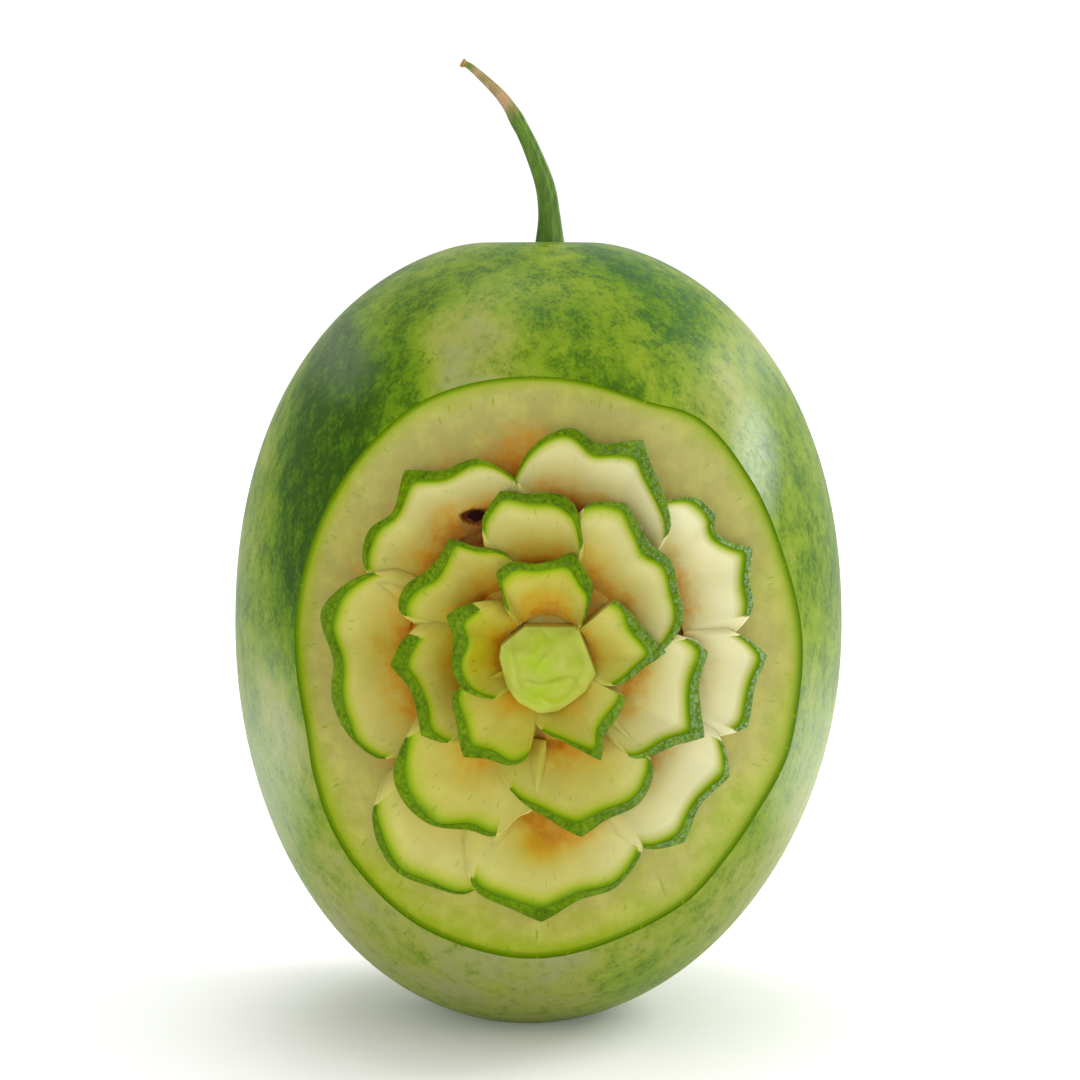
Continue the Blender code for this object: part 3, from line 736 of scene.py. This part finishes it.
# Milkiness of the wall everywhere, then painted light added to the right, milkiness added outwards, and
# painted light added upwards.
PALE_ALL = 0.07
PAINTED_LIGHT_RIGHT = 0.66
PALE_OUT = 0.16
PAINTED_LIGHT_UP = 0.32


def spots(x, z, table):
    """Each spot's strength at places x, z mm from the flower's middle."""
    for bearing, reach, size, amount in table:
        turn = math.radians(bearing)
        far = np.hypot(x - reach * math.sin(turn), z - reach * math.cos(turn)) / size
        yield amount * np.exp(-far * far)


def milk_and_painted_light(x, z):
    """How pale the wall flesh is made, 0 to 1: milky, more so outwards, and painted light upwards and
    to the right.
    """
    t = np.clip((x - 5.0) / 45.0, 0.0, 1.0)
    right = t * t * (3.0 - 2.0 * t)
    out = np.clip((np.hypot(x, z) - 20.0) / 50.0, 0.0, 1.0)
    up = np.clip((z - 30.0) / 30.0, 0.0, 1.0) * (x > -60.0)
    pale_and_lit = PALE_ALL + PAINTED_LIGHT_RIGHT * right + PALE_OUT * out + PAINTED_LIGHT_UP * up
    return np.clip(pale_and_lit, 0.0, 1.0)


def ripeness_and_crevice_shade(x, z):
    """Extra ripeness of the flesh, with painted shade in the crevices between petals, in mm of colour
    depth.
    """
    side = np.cos(np.arctan2(x, z) - RIPE_FACING) * np.clip(np.hypot(x, z) / 50.0, 0.0, 1.0)
    return RIPE_SIDE * side + RIPE_SHIFT + sum(spots(x, z, RIPE_AND_CREVICE_SHADE_SPOTS))


def colour_by_depth(mesh, depth, petal=1.0):
    """Store what the flesh's colour goes by: depth in mm, ripeness with painted crevice shade, paleness
    with painted light, and glassiness with painted shade.
    """
    points = mesh_points(mesh)
    x = (points[:, 0] - FLOWER_X) / MM
    z = (points[:, 2] - FLOWER_Z) / MM
    note(mesh, "depth_mm", depth)
    note(mesh, "ripeness_and_crevice_shade", ripeness_and_crevice_shade(x, z))
    note(mesh, "milk_and_painted_light", milk_and_painted_light(x, z) * petal)
    note(mesh, "glassiness_and_shade", np.maximum.reduce(list(spots(x, z, GLASSY_AND_SHADED_SPOTS))) * petal)
    note(mesh, "pit", pit_push(points) * (points[:, 1] < 0.0))


def carved_body(rind, flesh):
    """The melon with the dish cut out of it: rind outside, flesh in the dish."""
    body = turned_melon()
    cut(body, dish_cutter())
    mesh = body.data
    mesh.materials.clear()
    mesh.materials.append(rind)
    mesh.materials.append(flesh)
    points = mesh_points(mesh)
    depth = under_skin(points)
    reach = np.hypot(points[:, 0] - FLOWER_X, points[:, 2] - FLOWER_Z) / MM
    # The floor below the flower is a little riper than the ring round it.
    colour_by_depth(mesh, depth + np.clip((56.0 - reach) / 10.0, 0.0, 1.0), BODY_PALENESS)
    bearing = np.arctan2(points[:, 0] - FLOWER_X, points[:, 2] - FLOWER_Z)
    note(mesh, "round_mm", bearing * MEAN_REACH)
    deepest = np.array([max(depth[v] for v in face.vertices) for face in mesh.polygons])
    front = np.array([face.center.y < FRONT_Y for face in mesh.polygons])
    is_flesh = (deepest > SKIN_DEPTH) & front
    mesh.polygons.foreach_set("material_index", is_flesh.astype(np.int32))
    mesh.shade_smooth()
    mesh.set_sharp_from_angle(angle=math.radians(BODY_SHARP))
    body.name = "melon_body"
    mesh.name = "melon_body"
    return body


# ---- petals --------------------------------------------------------------------------------
def unwound(tips):
    """Places along a rim with bearings that keep growing past 360."""
    places = [tips[0]]
    for bearing, reach in tips[1:]:
        places.append((bearing + 360 * (bearing < tips[0][0]), reach))
    return places


def rim_line(tips):
    """Bearing, reach, tuck and distance along a rim: smooth waves, sharp only at the peaks."""
    at, out = np.array(tips, float).T
    angle = np.radians(at)
    gap = np.hypot(np.diff(out * np.sin(angle)), np.diff(out * np.cos(angle)))
    slope = np.diff(out) / gap
    leave = np.concatenate((slope, slope[-1:]))
    arrive = np.concatenate((slope[:1], slope))
    for i in range(1, len(tips) - 1):
        if slope[i - 1] - slope[i] > SHARP_TURN:
            continue
        level = (slope[i - 1] * gap[i] + slope[i] * gap[i - 1]) / (gap[i - 1] + gap[i])
        leave[i] = arrive[i] = level
    rows = []
    last = len(tips) - 2
    for n in range(last + 1):
        steps = max(3, math.ceil(gap[n] / RIM_STEP))
        for i in range(steps + (n == last)):
            t = i / steps
            reach = (out[n] * (1 + 2 * t) * (1 - t) ** 2 + out[n + 1] * t * t * (3 - 2 * t)
                     + gap[n] * (leave[n] * t * (1 - t) ** 2 - arrive[n + 1] * t * t * (1 - t)))
            dip = max((n == 0) * (1.0 - t), (n == last) * t)
            tuck = TUCK * max(0.0, (dip - TUCK_FROM) / (1.0 - TUCK_FROM)) ** 1.4
            rows.append((at[n] + (at[n + 1] - at[n]) * t, reach, tuck))
    bearing, reach, tuck = np.array(rows).T
    angle = np.radians(bearing)
    step = np.hypot(np.diff(reach * np.sin(angle)), np.diff(reach * np.cos(angle)))
    return bearing, reach, tuck, np.concatenate(((0.0,), np.cumsum(step)))


def skin_width(number, bearing):
    """Width of the skin left on a petal's rim, in mm, at each bearing."""
    at, width = np.array(SKIN_WIDTHS[number], float).T
    at = at + 360.0 * (at < at[0])
    return np.interp(bearing, at, width)


def pit_push(points):
    """How far into the knife slip each point lies: 0 at its edge, 1 well inside."""
    middle = skin_points(PIT_BEARING, PIT_REACH)
    across = (points[:, 0] - middle[0]) / MM / PIT_HALF_WIDTH
    up = (points[:, 2] - middle[2]) / MM / PIT_HALF_HEIGHT
    return np.clip((PIT_EDGE - np.hypot(across, up)) / PIT_SOFTNESS, 0.0, 1.0)


def petal_rows(number, layer, tips):
    """Rings of points across one petal, which of them are skin, and how bare each station is."""
    bearing, reach, tuck, run = rim_line(tips)
    reach = blurred(reach, run, TIP_SPREAD)
    width = skin_width(number, bearing)
    inner = np.minimum(blurred(reach - width, run, BAND_SPREAD), reach - LEAST_BAND)
    lap = FIRST_LAP + LAP_STEP * (number % LAPS)
    groove, full_depth = GROOVES[layer]
    foot = np.minimum(groove - FOOT_RUN, inner - 2.0)
    share = 2.0 * (bearing - bearing[0]) / (bearing[-1] - bearing[0]) - 1.0
    groove_depth = full_depth * (1.0 - SCOOP * share * share)
    top = lap + tuck
    columns = []
    for across, drop in BAND_PROFILE:
        columns.append((reach + (inner - reach) * across, top + drop, across < 1.0))
    for i in range(1, FACE_ROWS + 1):
        t = (i / FACE_ROWS) ** FACE_CROWDING
        hollow = FACE_SAG * groove_depth * 4.0 * t * (1.0 - t)
        depth = top + BAND_PROFILE[-1][1] + (groove_depth + 0.3 - top) * t + hollow
        columns.append((inner + (foot - inner) * t, depth, False))
    columns.append((foot, np.full_like(foot, full_depth + ROOT + 3.0), False))
    back = np.maximum(reach - UNDERCUT, foot + 0.8)
    for i in range(BACK_ROWS + 1):
        t = 1.0 - i / BACK_ROWS
        depth = (floor_depth(bearing, back) + ROOT) * t + (top + 0.6) * (1.0 - t)
        columns.append((back + (reach - back) * (1.0 - t) ** BACK_BEND, depth, False))
    rings = np.stack([skin_points(bearing, r, d) for r, d, _ in columns], axis=1)
    skin = np.array([kept for _, _, kept in columns])
    bare = np.clip(tuck / BARE_TUCK, 0.0, 1.0)
    bare[bearing < BARE_UNTIL.get(number, 0)] = 1.0
    return rings, skin, lap, bare, run


def petal_layer(layer, band, flesh):
    """All petals of one layer as one piece of closed shells."""
    points, faces, marks, depths, rounds = [], [], [], [], []
    first = 0
    for number, (its_layer, *tips) in enumerate(PETALS):
        if its_layer != layer:
            continue
        rings, skin, lap, bare, run = petal_rows(number, layer, unwound(tips))
        stations, across = rings.shape[:2]
        flat = rings.reshape(-1, 3)
        wavy = uneven(flat, *PETAL_WAVE, FIRST_PETAL_SEED + number)
        flat[:, 1] += wavy * np.tile(~skin, stations) * MM
        seen = np.maximum(under_skin(flat) - lap, 0.0)
        if layer == 3:
            flat[:, 1] += PIT_PUSH * MM * pit_push(flat) * (seen > PIT_FROM)
        points.append(flat)
        seen = WALL + (seen - WALL) * np.where(seen > WALL, HEART_NEARER[layer], 1.0)
        depths.append(np.maximum(seen, BARE_DEPTH * np.repeat(bare, across)))
        rounds.append(np.repeat(run + PATTERN_GAP * number, across))
        for i in range(stations - 1):
            for j in range(across):
                k = (j + 1) % across
                a = first + i * across
                faces.append((a + j, a + across + j, a + across + k, a + k))
                on_skin = skin[j] and skin[k] and max(bare[i], bare[i + 1]) < 0.9
                marks.append(0 if on_skin else 1)
        for end in (0, stations - 1):
            faces.append(tuple(first + end * across + j for j in range(across)))
            marks.append(1)
        first += len(flat)
    piece = finished(LAYER_NAMES[layer], np.concatenate(points), faces, PETAL_SHARP)
    mesh = piece.data
    mesh.materials.append(band)
    mesh.materials.append(flesh)
    mesh.polygons.foreach_set("material_index", np.array(marks, np.int32))
    colour_by_depth(mesh, np.concatenate(depths))
    note(mesh, "round_mm", np.concatenate(rounds))
    return piece


# ---- bud -----------------------------------------------------------------------------------
BUD_SIDES = 160
BUD_ROWS = 44
BUD_TOP_DEPTH = 1.3             # the bud's crown under the skin, mm
BUD_EDGE_DEPTH = 4.6            # the dome's edge under the skin before the facets are cut, mm
BUD_OUTLINE = ((42, 14.0), (105, 15.5), (128, 14.9), (167, 15.6), (189, 15.7), (214, 14.9),
               (239, 14.0), (274, 14.1), (290, 14.3), (329, 12.4))
BUD_SOFTNESS = 0.5              # how softly its facets run into each other, mm
# The bud's stem down into the melon: depth in mm, share of the outline.
BUD_STEM = ((19.0, 1.05), (14.0, 1.04), (11.0, 1.03), (9.5, 1.01))
CREASE_DEPTH = 0.7              # creases follow where a slow wave crosses nought
CREASE_WIDTH = 0.08
# Knife facets round the bud's shoulder: facing bearing, start reach in mm, slope.
BUD_FACETS = ((15, 8.2, 0.55), (72, 8.6, 0.75), (118, 9.4, 0.9), (160, 9.8, 0.8), (205, 9.6, 0.9),
              (252, 8.8, 1.0), (308, 8.8, 0.6))


def straight_outline(corners, bearings):
    """Reach of a many-cornered outline with straight sides, at many bearings."""
    at = np.array([c[0] for c in corners] + [corners[0][0] + 360], float)
    out = np.array([c[1] for c in corners] + [corners[0][1]], float)
    turned = at[0] + np.mod(bearings - at[0], 360.0)
    i = np.clip(np.searchsorted(at, turned, side="right") - 1, 0, len(corners) - 1)
    before, after = np.radians(turned - at[i]), np.radians(at[i + 1] - turned)
    return (out[i] * out[i + 1] * np.sin(before + after)
            / (out[i] * np.sin(before) + out[i + 1] * np.sin(after)))


def flower_bud(flesh):
    """Peeled knob: a cornered outline, knife facets round its shoulder, a creased crown."""
    bearings = 360.0 * np.arange(BUD_SIDES) / BUD_SIDES
    outline = straight_outline(BUD_OUTLINE, bearings)
    rows = [skin_points(bearings, outline * share, depth) for depth, share in BUD_STEM]
    for i in range(BUD_ROWS):
        share = math.cos(0.5 * math.pi * (i + 0.3) / BUD_ROWS)
        dome = BUD_TOP_DEPTH + (BUD_EDGE_DEPTH - BUD_TOP_DEPTH) * share ** 4
        sliced = np.exp(np.full(BUD_SIDES, dome) / BUD_SOFTNESS)
        for facing, start, slope in BUD_FACETS:
            out = outline * share * np.cos(np.radians(bearings - facing))
            sliced += np.exp((BUD_TOP_DEPTH + 0.2 + (out - start) * slope) / BUD_SOFTNESS)
        rows.append(skin_points(bearings, outline * share, BUD_SOFTNESS * np.log(sliced)))
    points = np.concatenate(rows)
    points[:, 1] += sum(uneven(points, *wave) for wave in BUD_WAVES) * MM
    creases = np.abs(uneven(points, *CREASES))
    points[:, 1] += CREASE_DEPTH * MM * np.exp(-(creases / CREASE_WIDTH) ** 2)
    piece = finished("flower_bud", points, closed_faces(len(rows), BUD_SIDES))
    piece.data.materials.append(flesh)
    colour_by_depth(piece.data, np.clip(under_skin(points), 0.0, 30.0))
    return piece


# ---- stalk ---------------------------------------------------------------------------------
STALK_RIDGES = 5
STALK_SIDES = 60
STALK_STEPS = 22                # stations between two places on its line
RIDGE_HEIGHT = 0.07             # height of a ridge as a share of the stalk's radius
# Swellings along it: height in mm, where along it, length as a share of it.
STALK_KNOTS = ((0.55, 0.985, 0.018), (0.25, 0.70, 0.03))


def smooth_path(values, steps):
    """Catmull-Rom curve through the rows of an array."""
    ends = np.concatenate(([values[0] * 2 - values[1]], values, [values[-1] * 2 - values[-2]]))
    path = []
    for i in range(1, len(ends) - 2):
        a, b, c, d = ends[i - 1:i + 3]
        for t in np.arange(steps) / steps:
            path.append(b + 0.5 * t * (c - a + t * (2 * a - 5 * b + 4 * c - d
                                                    + t * (3 * (b - c) + d - a))))
    path.append(values[-1])
    return np.array(path)


def stalk_tree(material):
    """Geometry Nodes: a ridged outline swept along the stalk's line, with its own radius."""
    tree = bpy.data.node_groups.new("ridged_stalk", "GeometryNodeTree")
    face = tree.interface
    face.new_socket("Line", in_out="INPUT", socket_type="NodeSocketGeometry")
    ridge = face.new_socket("Ridge Height", in_out="INPUT", socket_type="NodeSocketFloat")
    face.new_socket("Stalk", in_out="OUTPUT", socket_type="NodeSocketGeometry")
    start = put(tree, "NodeGroupInput")
    end = put(tree, "NodeGroupOutput")
    curve = put(tree, "GeometryNodeMeshToCurve", start.outputs[0])
    width = put(tree, "GeometryNodeInputNamedAttribute", "radius_m", data_type="FLOAT")
    sized = put(tree, "GeometryNodeSetCurveRadius", named={"Curve": curve, "Radius": width})
    share = put(tree, "GeometryNodeSplineParameter").outputs["Factor"]
    marked = put(tree, "GeometryNodeStoreNamedAttribute", data_type="FLOAT", domain="POINT",
                 named={"Geometry": sized, "Name": "along", "Value": share})
    circle = put(tree, "GeometryNodeCurvePrimitiveCircle",
                 named={"Resolution": STALK_SIDES, "Radius": 1.0})
    turn = put(tree, "GeometryNodeSplineParameter").outputs["Factor"]
    angle = put(tree, "Math", turn, 2.0 * math.pi * STALK_RIDGES, operation="MULTIPLY")
    wave = put(tree, "Math", angle, operation="COSINE")
    lift = put(tree, "Math", wave, start.outputs[1], 1.0, operation="MULTIPLY_ADD")
    spot = put(tree, "GeometryNodeInputPosition")
    moved = put(tree, "VectorMath", spot, operation="SCALE", named={"Scale": lift})
    outline = put(tree, "GeometryNodeSetPosition", named={"Geometry": circle, "Position": moved})
    across = put(tree, "SeparateXYZ", spot).outputs[0]
    sided = put(tree, "GeometryNodeStoreNamedAttribute", data_type="FLOAT", domain="POINT",
                named={"Geometry": outline, "Name": "side", "Value": across})
    swept = put(tree, "GeometryNodeCurveToMesh",
                named={"Curve": marked, "Profile Curve": sided, "Fill Caps": True,
                       "Scale": width})
    real = put(tree, "GeometryNodeRealizeInstances", swept)
    painted = put(tree, "GeometryNodeSetMaterial", real, named={"Material": material})
    tree.links.new(painted.outputs[0], end.inputs[0])
    return tree, ridge.identifier


def stalk(material):
    """The bent, tapering, ridged stalk, its foot buried in the crown's dip."""
    crown = GIRTH_Z + UPPER_HALF - CROWN_DIP
    axis = float(melon_axis(crown))
    stations = np.array([(axis + x * MM, 0.0, crown + z * MM, r * MM) for (x, z), r in STALK])
    path = smooth_path(stations, STALK_STEPS)
    mesh = bpy.data.meshes.new("stalk_line")
    edges = [(i, i + 1) for i in range(len(path) - 1)]
    mesh.from_pydata([tuple(p[:3]) for p in path], edges, [])
    share = np.linspace(0.0, 1.0, len(path))
    knots = sum(height * MM * np.exp(-((share - at) / length) ** 2)
                for height, at, length in STALK_KNOTS)
    note(mesh, "radius_m", path[:, 3] + knots)
    line = place_object("stalk_line", mesh)
    tree, ridge = stalk_tree(material)
    step = line.modifiers.new("ridged_stalk", "NODES")
    step.node_group = tree
    step[ridge] = RIDGE_HEIGHT
    graph = bpy.context.evaluated_depsgraph_get()
    made = bpy.data.meshes.new_from_object(line.evaluated_get(graph))
    bpy.data.objects.remove(line, do_unlink=True)
    made.name = "stalk"
    made.shade_smooth()
    made.set_sharp_from_angle(angle=math.radians(STALK_SHARP))
    return place_object("stalk", made)


# ---- stage ---------------------------------------------------------------------------------
FLOOR_HALF = 9.0
# Soft lights: place, size and watts. They all look at the melon's middle.
LIGHTS = {
    "side": ((0.98, 0.31, 0.74), (0.35, 0.6), 7.5),
    "top": ((-0.20, 0.20, 1.50), (0.7, 0.7), 6.0),
    "front": ((-0.35, -1.68, 0.02), (0.9, 0.9), 13.5),
}
LIGHTS_AIM = Vector((0.0, 0.0, 0.15))
CAMERA_LENS = 100.0
CAMERA_SENSOR = 36.0
CAMERA_ELEVATION = math.radians(7.0)
CAMERA_RAISED = math.atan(92.0 / 3000.0)        # how far above the melon's middle it looks
CAMERA_DISTANCE = 0.992
CAMERA_X = 0.0041
CAMERA_AIM_Z = 0.1265


def white_floor():
    """White paper, lit a little from within further out, so the shadow fades into the white."""
    corners = [(x * FLOOR_HALF, y * FLOOR_HALF, 0) for x, y in ((-1, -1), (1, -1), (1, 1), (-1, 1))]
    mesh = bpy.data.meshes.new("studio_floor")
    mesh.from_pydata(corners, [], [(0, 1, 2, 3)])
    paper, tree, shader = blank_material("white paper")
    shader.inputs["Base Color"].default_value = (0.9, 0.9, 0.9, 1.0)
    shader.inputs["Roughness"].default_value = 0.9
    shader.inputs["Specular IOR Level"].default_value = 0.1
    shader.inputs["Emission Color"].default_value = (1.0, 1.0, 1.0, 1.0)
    far = put(tree, "VectorMath", put(tree, "TexCoord").outputs["Object"], operation="LENGTH")
    glow = put(tree, "MapRange", far, 0.06, 0.45, 0.08, 0.45)
    plug(tree, shader.inputs["Emission Strength"], glow)
    mesh.materials.append(paper)
    floor = place_object("studio_floor", mesh)


def white_surround():
    """Brightest to the right and behind the melon, dimmer on its left and in front."""
    world = bpy.data.worlds.new("surround")
    world.use_nodes = True
    tree = world.node_tree
    right, back, _ = put(tree, "SeparateXYZ", put(tree, "TexCoord").outputs["Generated"]).outputs
    toward = put(tree, "Math", back, 0.4, operation="MULTIPLY")
    toward = put(tree, "Math", right, 0.8, toward, operation="MULTIPLY_ADD")
    glow = put(tree, "MapRange", toward, -0.7, 0.7, 0.66, 0.98)
    # Seen directly it is plain white.
    direct = put(tree, "Math", put(tree, "LightPath").outputs["Is Camera Ray"], 1.1,
                 operation="MULTIPLY")
    glow = put(tree, "Math", glow, direct, operation="MAXIMUM")
    surround = tree.nodes["Background"]
    plug(tree, surround.inputs["Strength"], glow)
    surround.inputs["Color"].default_value = (1.0, 1.0, 1.0, 1.0)
    bpy.context.scene.world = world


def studio():
    """White floor and surround, three broad soft lights, and the camera."""
    white_floor()
    white_surround()
    for name, (place, size, watts) in LIGHTS.items():
        lamp = bpy.data.lights.new(name, "AREA")
        lamp.shape = "RECTANGLE"
        lamp.size, lamp.size_y = size
        lamp.energy = watts
        made = place_object(name, lamp)
        made.location = place
        made.rotation_euler = (LIGHTS_AIM - Vector(place)).to_track_quat("-Z", "Y").to_euler()
    eye = bpy.data.cameras.new("camera")
    eye.sensor_width = CAMERA_SENSOR
    eye.lens = CAMERA_LENS
    made = place_object("camera", eye)
    made.location = (CAMERA_X, -CAMERA_DISTANCE * math.cos(CAMERA_ELEVATION),
                     CAMERA_AIM_Z + CAMERA_DISTANCE * math.sin(CAMERA_ELEVATION))
    made.rotation_euler = (math.pi / 2 - CAMERA_ELEVATION + CAMERA_RAISED, 0.0, 0.0)
    bpy.context.scene.camera = made
    bpy.context.scene.view_settings.view_transform = "Standard"


def main():
    band = rim_rind()
    flesh = cut_flesh("cut watermelon flesh", PETAL_DEPTHS)
    pieces = [carved_body(waxy_rind(), cut_flesh("peeled watermelon wall", DISH_DEPTHS))]
    for layer in LAYER_NAMES:
        pieces.append(petal_layer(layer, band, flesh))
    pieces.append(flower_bud(peeled_knob()))
    pieces.append(stalk(green_stalk()))
    for piece in pieces:
        ride_root(piece)
    studio()


main()
